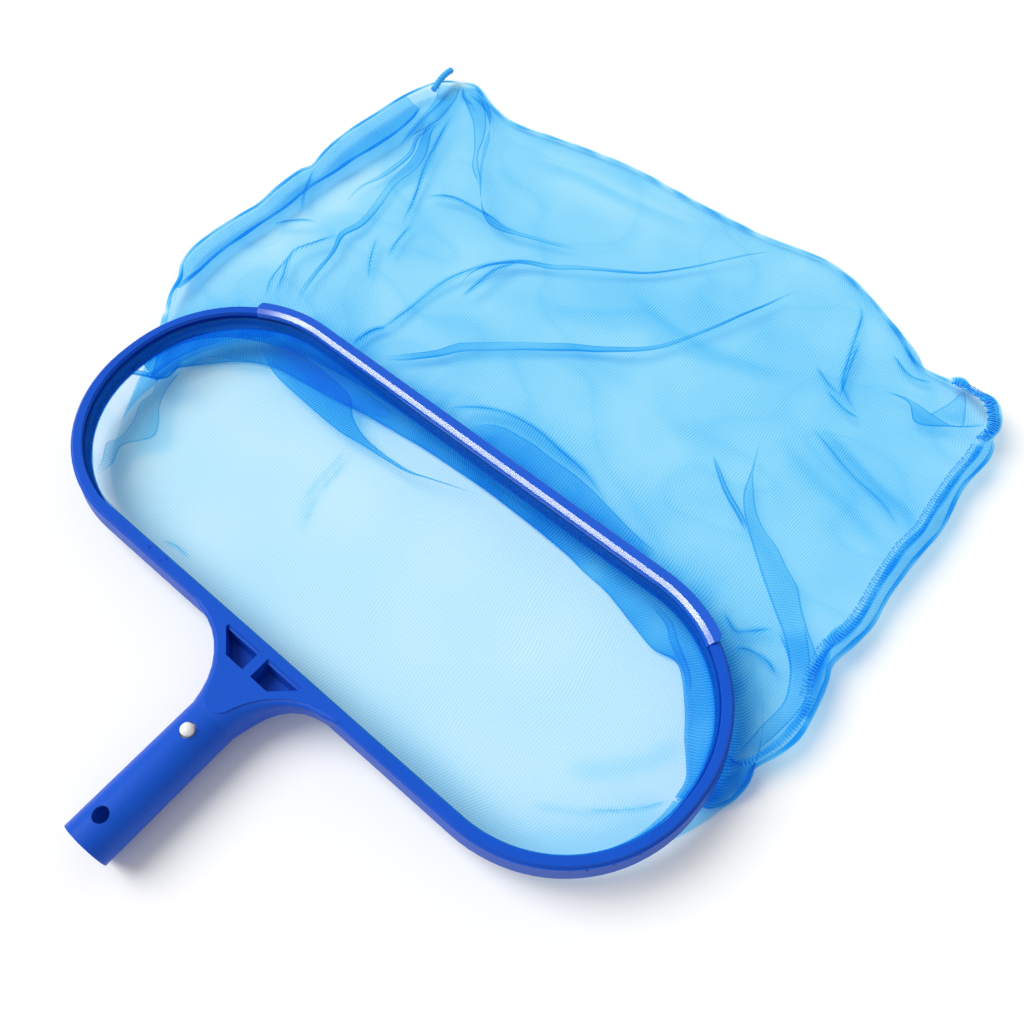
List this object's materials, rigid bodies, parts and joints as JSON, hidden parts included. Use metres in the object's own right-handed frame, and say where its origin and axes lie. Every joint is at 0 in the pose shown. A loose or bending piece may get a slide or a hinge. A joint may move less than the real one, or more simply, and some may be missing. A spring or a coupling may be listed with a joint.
{
  "type": "leaf skimmer net",
  "caption": "Pool leaf rake: long rounded hoop with a scoop lip, deep mesh bag held by a spline, and a tubular pole handle with a spring clip.",
  "frame": {"origin": "centre of the handle's open end, on the handle's axis", "axes": "+Y along the handle to the hoop, +Z out of the hoop's mouth, X along the hoop's length"},
  "size_m": [0.5086, 0.5855, 0.0358],
  "materials": {
    "frame_blue": "semi-gloss moulded",
    "lip_blue": "semi-gloss extruded",
    "spline_blue": "satin",
    "hem_tape": "woven tape",
    "mesh_cloth": "fine sheer nylon mesh",
    "seam_cloth": "overlocked mesh",
    "clip_white": "satin moulded nylon"
  },
  "bodies": {
    "net_frame": {"hoop": "frame_blue", "handle": "frame_blue", "scoop_lip": "lip_blue", "net_spline": "spline_blue", "mouth_hem": "hem_tape", "bag_upper_panel": "mesh_cloth", "bag_lower_panel": "mesh_cloth", "side_seam_left": "seam_cloth", "side_seam_right": "seam_cloth", "clip_bow": "clip_white"},
    "clip_leg_upper": {"clip_leg_upper": "clip_white"},
    "clip_leg_lower": {"clip_leg_lower": "clip_white"}
  },
  "joints": [
    {"name": "upper_button", "type": "hinge", "parent": "net_frame", "child": "clip_leg_upper", "pos_m": [0, 0.036, 0.01023], "axis": [-1, 0, 0], "range_deg": [0, 6.4], "stiffness_Nm_per_rad": 1.2, "springref_deg": -8.59},
    {"name": "lower_button", "type": "hinge", "parent": "net_frame", "child": "clip_leg_lower", "pos_m": [0, 0.036, -0.01023], "axis": [1, 0, 0], "range_deg": [0, 6.4], "stiffness_Nm_per_rad": 1.2, "springref_deg": -8.59}
  ]
}
